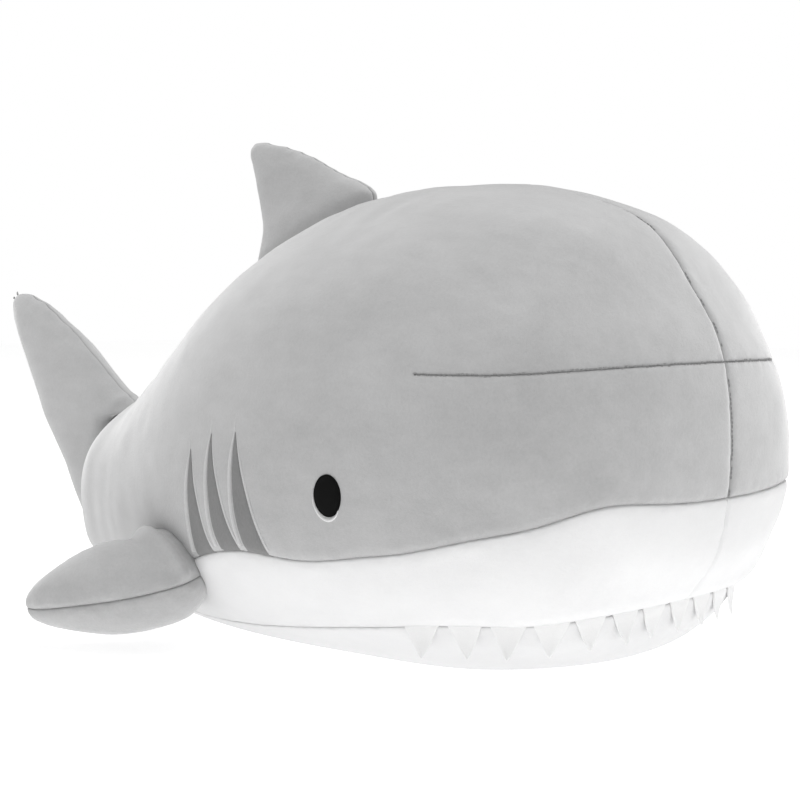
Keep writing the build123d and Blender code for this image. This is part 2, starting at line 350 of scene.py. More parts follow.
# ---- shader maths ----
class Value:
    """A number or colour that changes over a surface. Sums on it become shader nodes."""

    def __init__(self, tree, socket):
        self.tree, self.socket = tree, socket

    def maths(self, operation, *inputs, clamp=False):
        node = self.tree.nodes.new("ShaderNodeMath")
        node.operation, node.use_clamp = operation, clamp
        for slot, given in zip(node.inputs, inputs):
            if isinstance(given, Value):
                self.tree.links.new(given.socket, slot)
            else:
                slot.default_value = given
        return Value(self.tree, node.outputs[0])

    def __add__(self, other): return self.maths("ADD", self, other)
    def __radd__(self, other): return self.maths("ADD", other, self)
    def __sub__(self, other): return self.maths("SUBTRACT", self, other)
    def __rsub__(self, other): return self.maths("SUBTRACT", other, self)
    def __mul__(self, other): return self.maths("MULTIPLY", self, other)
    def __rmul__(self, other): return self.maths("MULTIPLY", other, self)
    def __truediv__(self, other): return self.maths("DIVIDE", self, other)
    def held(self): return self.maths("ADD", self, 0.0, clamp=True)


class Finish:
    """A material under construction."""

    def __init__(self, name, **constants):
        self.material = bpy.data.materials.new(name)
        self.material.use_nodes = True
        self.tree = self.material.node_tree
        self.shader = self.tree.nodes["Principled BSDF"]
        for socket, value in constants.items():
            self.shader.inputs[socket.replace("_", " ")].default_value = value
        self.place = self.node("ShaderNodeTexCoord", {}, {}, "Object")

    def node(self, kind, settings, sockets, output=0):
        made = self.tree.nodes.new(kind)
        for name, value in settings.items():
            setattr(made, name, value)
        for name, value in sockets.items():
            if isinstance(value, Value):
                self.tree.links.new(value.socket, made.inputs[name])
            else:
                made.inputs[name].default_value = value
        return Value(self.tree, made.outputs[output])

    def stretched(self, scale, turn=(0, 0, 0)):
        return self.node("ShaderNodeMapping", {}, {"Vector": self.place, "Scale": scale, "Rotation": turn})

    def grain(self, size, detail=2.0, rough=0.5, place=None):
        """Random values from 0 to 1 that change over `size` metres."""
        return self.node("ShaderNodeTexNoise", {}, {
            "Vector": place or self.place, "Scale": 1 / size, "Detail": detail, "Roughness": rough})

    def shades(self, amount, dark, light):
        """A colour between dark and light, each of them fixed or itself a Value."""
        mixed = self.node("ShaderNodeMix", {"data_type": "RGBA"}, {"Factor": amount}, 2)
        for slot, colour in zip(mixed.socket.node.inputs[6:8], (dark, light)):
            if isinstance(colour, Value):
                self.tree.links.new(colour.socket, slot)
            else:
                slot.default_value = (*colour, 1)
        return mixed

    def give(self, **links):
        for socket, value in links.items():
            self.tree.links.new(value.socket, self.shader.inputs[socket.replace("_", " ")])
        return self.material

    def bump(self, height, depth, strength=1.0):
        return self.node("ShaderNodeBump", {}, {"Height": height, "Distance": depth, "Strength": strength})


def grey(level, tint=(1.0, 1.0, 1.0)):
    """The linear colour of a display grey from 0 to 255."""
    linear = ((level / 255 + 0.055) / 1.055)**2.4
    return tuple(linear * t for t in tint)


GREY_LEVEL, WHITE_LEVEL = 178, 228
CREASE_SHADE = 0.62  # the painted shade in the seams, as a share of the pile's own grey


def plush(name, level, spread, tint=(1.0, 1.0, 1.004), fuzz=1.0):
    """Short pile: a fine nap that lies this way and that, and so is lighter and darker in soft patches, with
    painted shade darkening it in the seams.
    """
    finish = Finish(name, Roughness=0.95, Sheen_Weight=fuzz, Sheen_Roughness=0.45, Specular_IOR_Level=0.15)
    brushed = finish.stretched((1.0, 0.45, 1.0), (0.3, 0.1, 0.4))
    patches = finish.grain(46 * MM, 3.0, 0.55, brushed)
    strokes = finish.grain(9 * MM, 3.0, 0.6, brushed)
    tufts = finish.grain(1.6 * MM, 3.0, 0.65)
    fibres = finish.grain(0.55 * MM, 2.0, 0.7)
    tone = (patches - 0.5) * 1.1 + (strokes - 0.5) * 0.8 + (tufts - 0.5) * 0.7 + (fibres - 0.5) * 0.5 + 0.5
    # Painted shade: the pile is darkened in the seams and where the fins meet the body, where shade falls.
    painted_seam_shade = finish.node("ShaderNodeAttribute", {"attribute_name": "painted_seam_shade"}, {}, 2)
    pile = finish.shades(tone.held(), grey(level - spread, tint), grey(level + spread, tint))
    colour = finish.shades(painted_seam_shade, pile, grey(level * CREASE_SHADE, tint))
    height = tufts * 0.6 + fibres * 0.4 + strokes * 0.5
    return finish.give(Base_Color=colour, Normal=finish.bump(height, 0.5 * MM, 0.55))


def felt_finish():
    finish = Finish("bright_felt", Roughness=0.92, Sheen_Weight=0.25, Specular_IOR_Level=0.2)
    matted = finish.grain(0.9 * MM, 4.0, 0.7)
    colour = finish.shades(matted, grey(233), grey(241))
    return finish.give(Base_Color=colour, Normal=finish.bump(matted, 0.25 * MM, 0.6))


def gill_finish():
    """A darker, flatter knit, with fine ribs that run down each gill."""
    finish = Finish("gill_knit", Roughness=0.9, Sheen_Weight=0.2, Specular_IOR_Level=0.2)
    ribs = finish.grain(0.8 * MM, 2.0, 0.5, finish.stretched((1.0, 1.0, 0.35)))
    specks = finish.grain(0.5 * MM, 2.0, 0.6)
    patches = finish.grain(14 * MM, 2.0, 0.5)
    tone = ribs * 0.45 + specks * 0.3 + patches * 0.25
    colour = finish.shades(tone, grey(104), grey(144))
    return finish.give(Base_Color=colour, Normal=finish.bump(ribs * 0.6 + specks * 0.4, 0.25 * MM, 0.6))


def thread_finish(name, level, spread, pitch, turn):
    """Shiny embroidery thread laid side by side."""
    finish = Finish(name, Roughness=0.65, Specular_IOR_Level=0.06)
    lines = finish.node("ShaderNodeTexWave", {"bands_direction": "Z"}, {
        "Vector": finish.stretched((1.0, 1.0, 1.0), turn), "Scale": 0.5 / pitch,
        "Distortion": 0.6, "Detail": 1.0})
    fibres = finish.grain(0.4 * MM, 2.0, 0.6)
    colour = finish.shades((lines * 0.6 + fibres * 0.4).held(), grey(level - spread), grey(level + spread))
    return finish.give(Base_Color=colour, Normal=finish.bump(lines * 0.7 + fibres * 0.3, 0.2 * MM, 0.7))


def fibre_fill_finish():
    finish = Finish("fibre_fill", Roughness=0.95, Sheen_Weight=0.3, Specular_IOR_Level=0.1)
    curls = finish.grain(5 * MM, 5.0, 0.7)
    colour = finish.shades(curls, grey(222), grey(250))
    return finish.give(Base_Color=colour, Normal=finish.bump(curls, 1.5 * MM, 0.8))


grey_pile = plush("grey_pile", GREY_LEVEL, 10)
painted_highlight_pile = plush("painted_highlight_pile", GREY_LEVEL + 14, 7)  # the folded edges, painted paler than the grey pile as a painted highlight on their raised tops
white_pile = plush("white_pile", WHITE_LEVEL, 3, fuzz=0.2)
bright_felt = felt_finish()
gill_knit = gill_finish()
eye_fill = thread_finish("eye_fill", 14, 5, 0.5 * MM, (0.5, 0, 0))
eye_satin = thread_finish("eye_satin", 20, 8, 0.5 * MM, (1.2, 0, 0))
# Painted highlight: pale thread for the bright crescent beside each eye.
painted_highlight_satin = thread_finish("painted_highlight_satin", 226, 12, 0.5 * MM, (0.9, 0, 0))
# Stitch thread darker than the pile, so the stitches also paint the short shadows along the seams.
seam_thread_and_shade = thread_finish("seam_thread_and_shade", 150, 14, 0.4 * MM, (0.2, 0, 0))
fibre_fill = fibre_fill_finish()


# ---- the body ----
BODY_CELLS = 48
body = ball("body_base", BODY_CELLS)
set_points(body.data, body_points(mesh_points(body.data)))


def beside(points, seam, reach):
    """1 on a side seam, 0 beyond `reach`."""
    return 1 - smooth_step(0.3 * reach, reach, np.abs(points[:, 2] - seam(points[:, 1])))


start = mesh_points(body.data)
held = np.maximum(beside(start, colour_seam, 9 * MM), beside(start, mouth_seam, 9 * MM))
held = np.maximum(held, 1 - smooth_step(2 * MM, 6 * MM, start[:, 2]))
held = np.maximum(held, 0.6 * (1 - smooth_step(3 * MM, 9 * MM, np.abs(start[:, 0]))))
puff(body, held, 4.0, 3 * MM, 12)

fill = new_piece("body_fibre_fill", body.data.copy(), fibre_fill)
apply_modifier(body, "SUBSURF", levels=1, render_levels=1)
points = mesh_points(body.data)
points[:, 2] = np.maximum(points[:, 2], 0.2 * MM)
set_points(body.data, points)

work = bmesh.new()
work.from_mesh(body.data)
SEAM_SLACK = 0.6 * MM
seams = {}
seams["colour"] = cut_along(work, lambda p: p[:, 2] - colour_seam(p[:, 1]), SEAM_SLACK)
seams["mouth"] = cut_along(work, lambda p: p[:, 2] - mouth_seam(p[:, 1]), SEAM_SLACK)
seams["dart"] = [
    e for e in cut_along(work, lambda p: p[:, 2] - dart_seam(p[:, 1]), SEAM_SLACK)
    if (e.verts[0].co.y + e.verts[1].co.y) / 2 < nose_y + DART_END * body_length
]
seams["centre"] = [
    e for e in work.edges
    if abs(e.verts[0].co.x) + abs(e.verts[1].co.x) < 1e-5
    and (e.verts[0].co.z + e.verts[1].co.z) / 2 > mouth_seam((e.verts[0].co.y + e.verts[1].co.y) / 2)
]
lines = {name: [(e.verts[0].co.copy(), e.verts[1].co.copy()) for e in edges] for name, edges in seams.items()}
trees = {name: seam_tree(pairs) for name, pairs in lines.items()}
all_seams = seam_tree([pair for pairs in lines.values() for pair in pairs])
for reach in (9 * MM, 4 * MM):
    refine(work, all_seams, reach)
work.to_mesh(body.data)
work.free()

points, normals = mesh_points(body.data), mesh_normals(body.data)
away = {name: distances(tree, points) for name, tree in trees.items()}
nearest = np.minimum.reduce(list(away.values()))
front = 1 - smooth_step(MOUTH_CORNER_Y - 30 * MM, MOUTH_CORNER_Y + 12 * MM, points[:, 1])
below_mouth = points[:, 2] < mouth_seam(points[:, 1])
lip_depth = (1.2 + 5.3 * front) * MM  # the lip hangs over the chin at the front of the mouth
mouth_sink = lip_depth * np.where(
    below_mouth, roll(away["mouth"], (4 + 38 * front) * MM), roll(away["mouth"], (3 + 6 * front) * MM))
sink = np.maximum.reduce([
    2.0 * MM * roll(away["colour"], 6 * MM),
    2.2 * MM * roll(away["centre"], 5 * MM) * smooth_step(-0.12, -0.2, points[:, 1]),
    0.9 * MM * roll(away["centre"], 3 * MM),
    1.5 * MM * roll(away["dart"], 4 * MM),
])
pucker = 0.5 * MM * np.exp(-nearest / (6 * MM)) * lumps(points, 6 * MM, 1)
pucker *= smooth_step(0, 1.2 * MM, nearest)
soft = 1.0 * MM * lumps(points, 60 * MM, 2) + 0.5 * MM * lumps(points, 22 * MM, 3)
soft *= smooth_step(0, 12 * MM, nearest) * smooth_step(2 * MM, 20 * MM, points[:, 2])

# Gathers run down the flank in front of the tail, and across the top between the head and the dorsal fin.
tail_share = smooth_step(30 * MM, 120 * MM, points[:, 1])
gathers = 1.9 * MM * tail_share * lumps(points * (0.5, 1.0, 0.2), 23 * MM, 8)
crown_share = smooth_step(0.88 * back_height, 0.98 * back_height, points[:, 2])
crown_share *= smooth_step(-150 * MM, -110 * MM, points[:, 1])
across_top = points * (0.3, 1.0, 0.3) + np.array([0, 0.25, 0]) * points[:, :1]
gathers += 2.2 * MM * crown_share * lumps(across_top, 15 * MM, 9)
gathers *= smooth_step(0, 10 * MM, np.minimum(away["colour"], away["mouth"]))

level_in = normals * (1, 1, 0.1)
level_in /= np.maximum(np.linalg.norm(level_in, axis=1), 0.2)[:, None]
flat_points = points
points = points + normals * (pucker + soft + gathers - sink)[:, None] - level_in * mouth_sink[:, None]
points[:, 2] = np.maximum(points[:, 2], 0.1 * MM)
set_points(body.data, points)
# Painted shade along the seams: darker on the dart, colour and mouth seams, and in broken patches along the
# centre seam on the grey, where shade falls in the creases.
irregular = 0.55 + 0.9 * lumps(points, 9 * MM, 10)
on_grey = flat_points[:, 2] > colour_seam(flat_points[:, 1])
painted_seam_shade = np.maximum.reduce([
    0.5 * np.exp(-(away["dart"] / (0.8 * MM))**2),
    0.5 * np.exp(-(away["centre"] / (0.7 * MM))**2) * np.clip(irregular, 0, 1) * on_grey,
    0.45 * np.exp(-(away["colour"] / (0.8 * MM))**2),
    0.3 * np.exp(-(away["mouth"] / (1.5 * MM))**2),
])
paint_seam_shade(body.data, painted_seam_shade)
skin = BVHTree.FromPolygons([Vector(p) for p in points], [tuple(f.vertices) for f in body.data.polygons])


def grey_part(middles):
    return middles[:, 2] > colour_seam(middles[:, 1])


def chin_part(middles):
    return middles[:, 2] < mouth_seam(middles[:, 1])


# The panels are told apart by where their cloth was before it sank into the seams.
middles = np.array([flat_points[list(f.vertices)].mean(0) for f in body.data.polygons])


def panel(name, wanted, material):
    piece = keep_faces(body, name, lambda _: wanted(middles), material)
    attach(piece, "body")
    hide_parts(name)
    return piece


for side, sign in (("right", -1), ("left", 1)):
    panel(f"back_panel_{side}", lambda m: grey_part(m) & (m[:, 0] * sign > 0), grey_pile)
    panel(f"lip_panel_{side}", lambda m: ~grey_part(m) & ~chin_part(m) & (m[:, 0] * sign > 0), white_pile)
panel("belly_panel", chin_part, white_pile)
bpy.data.objects.remove(body)


# ---- fins ----
class Root:
    """Where a fin is sewn on: its middle, the line it turns about, the way it points and its side."""

    def __init__(self, joint, out):
        self.middle = Vector(joints[joint]["pos_m"])
        self.along = Vector(joints[joint]["axis"]).normalized()
        self.out = out.normalized()
        self.side = self.along.cross(self.out)

    def apart(self, points, direction):
        return (points - np.array(self.middle)) @ np.array(direction)


PECTORAL_DROOP = math.radians(16)


def pectoral_root(side, sign):
    joint = f"pectoral_fin_{side}_flap"
    along = Vector(joints[joint]["axis"])
    level = along.cross(Vector((0, 0, 1)))
    if level.x * sign < 0:
        level.negate()
    return Root(joint, level * math.cos(PECTORAL_DROOP) - Vector((0, 0, 1)) * math.sin(PECTORAL_DROOP))


def stuffed(name, stuffing, cell):
    """A closed, swollen piece of cloth over one of the frame's stuffings."""
    piece = new_piece(name, frame["nodes"][stuffing].data.copy())
    select_only(piece)
    piece.data.materials.clear()
    apply_modifier(piece, "WELD", merge_threshold=0.02 * MM)
    apply_modifier(piece, "REMESH", mode="VOXEL", voxel_size=cell)
    apply_modifier(piece, "SMOOTH", factor=0.5, iterations=4)
    return piece


def off_skin(points):
    """How far outside the body's cloth each point is."""
    found = [(Vector(p), skin.find_nearest(Vector(p))) for p in points]
    return np.array([dist if (p - hit).dot(normal) > 0 else -dist for p, (hit, normal, _, dist) in found])


def fin(body_name, root, panels, stuffing, bend_reach, root_band, gathered, forward=0.0, full=0.0):
    """Sews a fin's two panels together round its edge, stuffs it and sews it on.

    `root_band` is the height of the soft ridge where it is sewn on, and `gathered` the depth of the puckers
    along its seam. `forward` is how far its upper root reaches on over the body, and `full` how far its cloth
    stands out beside the seam.
    """
    base = stuffed(f"{body_name}_base", stuffing, 4 * MM)
    points = mesh_points(base.data)
    along_root, from_root = root.apart(points, root.along), root.apart(points, root.out)
    high = smooth_step(20 * MM, 78 * MM, along_root)
    near = 1 - smooth_step(0, 60 * MM, from_root)
    shift = np.array(root.out) * forward + np.array(root.along) * 0.55 * forward
    points -= shift * (high * near)[:, None]
    buried = high * (1 - smooth_step(0, 26 * MM, root.apart(points, root.out)))
    points -= (shift + np.array(root.along) * 0.4 * forward) * (0.75 * buried)[:, None]
    along_root, from_root = root.apart(points, root.along), root.apart(points, root.out)
    over = smooth_step(30 * MM, 90 * MM, from_root) * smooth_step(40 * MM, 100 * MM, along_root)
    points += np.array(root.along) * (0.28 * forward * over)[:, None]
    set_points(base.data, points)
    rim = np.abs(root.apart(mesh_points(base.data), root.side))
    puff(base, 0.8 * (1 - smooth_step(1 * MM, 4 * MM, rim)), 5.0, 2.6 * MM, 14)
    filling = new_piece(f"{body_name}_fibre_fill", base.data.copy(), fibre_fill)
    apply_modifier(base, "SUBSURF", levels=1, render_levels=1)
    work = bmesh.new()
    work.from_mesh(base.data)
    edges = cut_along(work, lambda p: root.apart(p, root.side), 0.5 * MM)
    tree = seam_tree([(e.verts[0].co.copy(), e.verts[1].co.copy()) for e in edges])
    for reach in (7 * MM, 3 * MM):
        refine(work, tree, reach)
    work.to_mesh(base.data)
    work.free()
    flat_points, normals = mesh_points(base.data), mesh_normals(base.data)
    away = distances(tree, flat_points)
    off = off_skin(flat_points)
    outside = smooth_step(-3 * MM, 1 * MM, off)
    sink = 1.8 * MM * roll(away, 5 * MM) * outside
    pucker = gathered * np.exp(-away / (9 * MM)) * lumps(flat_points, 7 * MM, 4)
    pucker *= smooth_step(0, 3 * MM, away)
    soft = 0.9 * MM * lumps(flat_points, 24 * MM, 6) * smooth_step(0, 12 * MM, away)
    soft += full * smooth_step(0, 16 * MM, away)
    band = np.exp(-((off - 10 * MM) / (3.2 * MM))**2) - 0.5 * np.exp(-((off - 19 * MM) / (5 * MM))**2)
    band *= root_band * smooth_step(-0.3, 0.4, normals[:, 2]) * smooth_step(0, 6 * MM, away)
    wander = 2.0 * full * np.exp(-away / (11 * MM))
    wander *= smooth_step(0, 30 * MM, root.apart(flat_points, root.along))
    wander *= 1 - smooth_step(10 * MM, 95 * MM, root.apart(flat_points, root.out))
    moved = flat_points + normals * (band + (pucker + soft) * outside - sink)[:, None]
    set_points(base.data, moved - np.abs(np.array(root.side)) * wander[:, None])
    # Painted shade where the fin meets the body and along the fin's own seam.
    painted_root_shade = 0.7 * np.exp(-(off / (1.0 * MM))**2)
    paint_seam_shade(base.data, np.maximum(painted_root_shade, 0.5 * np.exp(-(away / (0.8 * MM))**2) * outside))
    middles = np.array([flat_points[list(f.vertices)].mean(0) for f in base.data.polygons])
    across = root.apart(middles, root.side)
    start, end = root.middle + root.out * 2 * MM, root.middle + root.out * bend_reach
    for node, keep in panels(across):
        piece = keep_faces(base, node, lambda _: keep, grey_pile)
        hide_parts(node)
        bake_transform(piece)
    bpy.data.objects.remove(base)
    points = mesh_points(filling.data)
    inward = 2.6 * MM + 1.2 * MM * lumps(points, 12 * MM, 7)
    shrunk = points.mean(0) + 0.92 * (points - points.mean(0))
    set_points(filling.data, shrunk - mesh_normals(filling.data) * inward[:, None])
    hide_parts(stuffing)
    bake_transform(filling)


def sides(name, root):
    """The right and left panels of a fin that stands in the middle of the body."""
    right = root.side.x < 0
    return lambda across: (
        (f"{name}_panel_right", across > 0 if right else across < 0),
        (f"{name}_panel_left", across < 0 if right else across > 0),
    )


dorsal = Root("dorsal_fin_tilt", Vector(joints["dorsal_fin_tilt"]["axis"]).cross(Vector((-1, 0, 0))))
fin("dorsal_fin", dorsal, sides("dorsal_fin", dorsal), "dorsal_fin_stuffing", 34 * MM, 0.6 * MM, 0.3 * MM)
tail = Root("tail_fin_swing", Vector((0, 1, 0)))
fin("tail_fin", tail, sides("tail_fin", tail), "tail_fin_stuffing", 40 * MM, 0.8 * MM, 0.3 * MM, 28 * MM,
    3.5 * MM)
for side, sign in (("right", -1), ("left", 1)):
    name = f"pectoral_fin_{side}"
    root = pectoral_root(side, sign)
    up = root.side.z > 0
    fin(name, root, lambda across: (
        (f"{name}_upper_panel", across > 0 if up else across < 0),
        (f"{name}_lower_panel", across < 0 if up else across > 0),
    ), f"{name}_stuffing", 34 * MM, 3.4 * MM, 0.9 * MM)


# ---- details sewn to the body ----
def on_skin(point, direction, lift=0.0):
    """Where a line into the body meets its cloth, and the cloth's way out there."""
    direction = Vector(direction).normalized()
    hit, normal, _, _ = skin.ray_cast(Vector(point) - direction * 0.2, direction)
    if hit is None:
        hit, normal, _, _ = skin.find_nearest(Vector(point))
    if normal.dot(direction) > 0:
        normal.negate()
    return hit + normal * lift, normal


def beside_body(sign, y, z, lift=0.0):
    return on_skin((sign * 0.1, y, z), (-sign, 0, 0), lift)


def sheet_of(name, rows, material, thick=0.0):
    """A patch from rows of points, thickened if asked."""
    columns = len(rows[0])
    points = [p for row in rows for p in row]
    faces = [
        (i * columns + j, i * columns + j + 1, (i + 1) * columns + j + 1, (i + 1) * columns + j)
        for i in range(len(rows) - 1) for j in range(columns - 1)
    ]
    piece = mesh_of(name, points, faces, material)
    if thick:
        apply_modifier(piece, "SOLIDIFY", thickness=thick, offset=0)
        apply_modifier(piece, "BEVEL", width=thick * 0.3, segments=2, limit_method="ANGLE")
        for face in piece.data.polygons:
            face.use_smooth = True
    return piece


def sewn_on(piece, slot, *nodes):
    """The piece moves with the body and stands for those nodes."""
    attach(piece, "body")
    if nodes:
        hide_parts(*nodes)


GILL_TOP_Y = nose_y + 226 * MM
# Each gill, front one first: how far back and how far down its top is from the front one's, then how far
# its rear and front edges reach back at the foot, and how far each edge bows back on its way down.
GILLS = [(0, 0, -5, -27, 4.5, 2.0), (22, 2, -4, -25, 4.5, 3.0), (42, 12, 2, -19, 2.5, 1.0)]
GILL_TOP = 131 * MM
REAR_FOLD, FRONT_FOLD = 1.35 * MM, 0.75 * MM  # radii of the folded edges
GILL_STEPS, GILL_PARTS = 40, 12


def gill(side, sign, number):
    """A dark insert between two folded edges of the grey plush."""
    back, down, rear_foot, front_foot, rear_bow, front_bow = (value * MM for value in GILLS[number - 1])
    top_y, top_z = GILL_TOP_Y + back, GILL_TOP - down
    rows, rear_edge, front_edge = [], [], []
    for step in range(GILL_STEPS + 1):
        v = step / GILL_STEPS
        bow = 4 * v * (1 - v)
        rear = top_y + rear_foot * v + rear_bow * bow
        ahead = top_y + front_foot * v + front_bow * bow
        row = []
        for part in range(GILL_PARTS + 1):
            u = part / GILL_PARTS
            y = rear + (ahead - rear) * u
            z = top_z + (float(colour_seam(y)) + 0.2 * MM - top_z) * v
            lift = -0.5 * MM + 0.9 * MM * min(1.0, 7 * u, 7 * (1 - u), 0.8 + 10 * (1 - v))
            row.append(beside_body(sign, y, z, lift)[0])
        rows.append(row)
        rear_edge.append((rear + 0.9 * MM, top_z + (float(colour_seam(rear)) - top_z) * v))
        front_edge.append((ahead - 0.3 * MM, top_z + (float(colour_seam(ahead)) - top_z) * v))
    insert = sheet_of(f"gill_insert_{side}_{number}", rows, gill_knit)
    outwards(insert, sign)
    sewn_on(insert, "gill_fabric", f"gill_insert_{side}_{number}")
    rear_edge, front_edge = rear_edge[:-2], front_edge[:-2]
    above = [(rear_edge[0][0] + 0.8 * MM, rear_edge[0][1] + lift) for lift in (9 * MM, 6 * MM, 3 * MM)]
    for edge, path, radius in (("rear", above + rear_edge, REAR_FOLD), ("front", front_edge, FRONT_FOLD)):
        fold = tube_on_skin(f"gill_{edge}_fold_{side}_{number}", sign, path, radius, painted_highlight_pile)
        sewn_on(fold, "grey_plush")


def outwards(piece, sign):
    """Turns a side patch's faces away from the body."""
    if sum(f.normal.x * f.area for f in piece.data.polygons) * sign < 0:
        piece.data.flip_normals()


def tube_on_skin(name, sign, path, radius, material):
    """A soft round fold that lies on the body's side and thins out at its upper end."""
    centres, normals = [], []
    for y, z in path:
        place, normal = beside_body(sign, y, z)
        centres.append(place)
        normals.append(normal)
    rings = 10
    points = []
    for index, (centre, normal) in enumerate(zip(centres, normals)):
        ahead = centres[min(index + 1, len(centres) - 1)] - centres[max(index - 1, 0)]
        across = ahead.normalized().cross(normal)
        share = min(1.0, 0.1 + 3.0 * index / len(centres))
        for step in range(rings):
            angle = 2 * math.pi * step / rings
            over = across * math.cos(angle) * 1.1 + normal * math.sin(angle) * 0.75
            points.append(centre + over * radius * share)
    faces = [
        (i * rings + j, i * rings + (j + 1) % rings, (i + 1) * rings + (j + 1) % rings, (i + 1) * rings + j)
        for i in range(len(centres) - 1) for j in range(rings)
    ]
    faces += [tuple(range(rings))[::-1], tuple((len(centres) - 1) * rings + j for j in range(rings))]
    piece = mesh_of(name, points, faces, material)
    select_only(piece)
    bpy.ops.object.mode_set(mode="EDIT")
    bpy.ops.mesh.select_all(action="SELECT")
    bpy.ops.mesh.normals_make_consistent(inside=False)
    bpy.ops.object.mode_set(mode="OBJECT")
    apply_modifier(piece, "SUBSURF", levels=1, render_levels=1)
    return piece


EYE_Y, EYE_Z = nose_y + 153.3 * MM, 101.8 * MM
EYE_HALF = (9.0 * MM, 11.0 * MM)
EYE_TILT = math.radians(6)


def eye_place(sign, share, angle, lift):
    """A point of the eye: `share` of the way from its middle to its rim, at an angle round it."""
    across, up = EYE_HALF[0] * share * math.cos(angle), EYE_HALF[1] * share * math.sin(angle)
    y = EYE_Y + across * math.cos(EYE_TILT) + up * math.sin(EYE_TILT)
    z = EYE_Z + up * math.cos(EYE_TILT) - across * math.sin(EYE_TILT)
    return beside_body(sign, y, z, lift)[0]


def eye(side, sign):
    """A black filled oval, a satin-stitched rim and a pale satin crescent under its lower rear edge that
    paints a highlight there.
    """
    turns = 96
    angles = [2 * math.pi * step / turns for step in range(turns + 1)]
    shares = [0.0, 0.15, 0.3, 0.45, 0.6, 0.72, 0.82, 0.9, 0.96, 1.0]
    rows = [[eye_place(sign, s, a, (0.5 + 0.8 * (1 - s**4)) * MM) for a in angles] for s in shares]
    patch = sheet_of(f"eye_patch_{side}", rows, eye_fill)
    closed(patch)
    outwards(patch, sign)
    sewn_on(patch, "eye_fabric", f"eye_patch_{side}")
    rows = []
    stitches = 150
    for part in range(9):
        q = part / 8
        row = []
        for step in range(stitches * 4 + 1):
            a = 2 * math.pi * step / (stitches * 4)
            ridge = 0.8 + 0.2 * math.cos(a * stitches)
            lift = (-0.2 + 1.1 * math.sin(math.pi * q) * ridge) * MM
            row.append(eye_place(sign, 0.88 + 0.14 * q, a, lift))
        rows.append(row)
    rim = sheet_of(f"eye_border_{side}", rows, eye_satin)
    closed(rim)
    outwards(rim, sign)
    sewn_on(rim, "eye_thread", f"eye_border_{side}")
    # The crescent is a painted highlight in pale thread.
    rows = []
    middle, spread = math.radians(-56), math.radians(80)
    for part in range(7):
        q = part / 6
        row = []
        for step in range(221):
            t = step / 110 - 1
            a = middle + spread * t
            width = 0.26 * max(0.0, 1 - abs(t)**2.2)
            ridge = 0.8 + 0.2 * math.cos(step * 1.9)
            lift = (-0.1 + 1.0 * math.sin(math.pi * q) * ridge) * MM
            row.append(eye_place(sign, 1.02 + width * q, a, lift))
        rows.append(row)
    shine = sheet_of(f"eye_shine_{side}", rows, painted_highlight_satin)
    outwards(shine, sign)
    sewn_on(shine, "eye_shine", f"eye_shine_{side}")


def closed(piece):
    """Joins the first and last points of rings that close on themselves."""
    apply_modifier(piece, "WELD", merge_threshold=0.002 * MM)


def ordered(pairs, key):
    """The points of a seam in order along it."""
    points = {tuple(round(c, 7) for c in p): p for pair in pairs for p in pair}
    return sorted(points.values(), key=key)


def resample(path, pitch):
    """Points at even steps along a path, and the way it runs there."""
    points = np.array([p[:] for p in path])
    run = np.r_[0, np.cumsum(np.linalg.norm(np.diff(points, axis=0), axis=1))]
    count = int(run[-1] / pitch)
    where = np.linspace(0, run[-1], count + 1)
    even = np.stack([np.interp(where, run, points[:, i]) for i in range(3)], 1)
    heading = np.gradient(even, axis=0)
    return even, heading / np.linalg.norm(heading, axis=1)[:, None]


CENTRE = Vector((0, nose_y + 0.5 * body_length, 0.12))
STITCH_PITCH = 2.43 * MM
STITCH_HALF = (0.42 * STITCH_PITCH, 0.32 * MM, 0.26 * MM)  # along the seam, across it and up
STITCH_LIFT = 0.1 * MM


def stitches(name, path):
    """A row of short thread stitches along the bottom of a seam, in a darker thread that also paints the
    seam's short shadows.
    """
    bpy.ops.object.select_all(action="DESELECT")
    bpy.ops.mesh.primitive_uv_sphere_add(segments=8, ring_count=5, radius=1)
    one = bpy.context.object
    shape = mesh_points(one.data)
    faces = [tuple(f.vertices) for f in one.data.polygons]
    bpy.data.objects.remove(one)
    even, heading = resample(path, STITCH_PITCH)
    points, all_faces = [], []
    for place, way in zip(even, heading):
        hit, normal, _, _ = skin.find_nearest(Vector(place))
        way = Vector(way)
        normal = Vector(place - np.array(CENTRE)).normalized() if normal.length < 0.5 else normal
        across = way.cross(normal).normalized()
        base = len(points)
        for x, y, z in shape:
            up = z * STITCH_HALF[2] + STITCH_LIFT
            points.append(hit + way * x * STITCH_HALF[0] + across * y * STITCH_HALF[1] + normal * up)
        all_faces += [tuple(base + i for i in face) for face in faces]
    piece = mesh_of(name, points, all_faces, seam_thread_and_shade)
    sewn_on(piece, "grey_plush")


TOOTH_COUNT, TOOTH_WIDTH, TOOTH_LENGTH, TOOTH_PITCH = 15, 20.5 * MM, 16 * MM, 24.5 * MM
FELT = 1.2 * MM
HIDDEN = 2.5 * MM  # of each tooth, sewn in behind the lip
LIP_EDGE = 0.6 * MM  # how far below the seam a tooth comes out


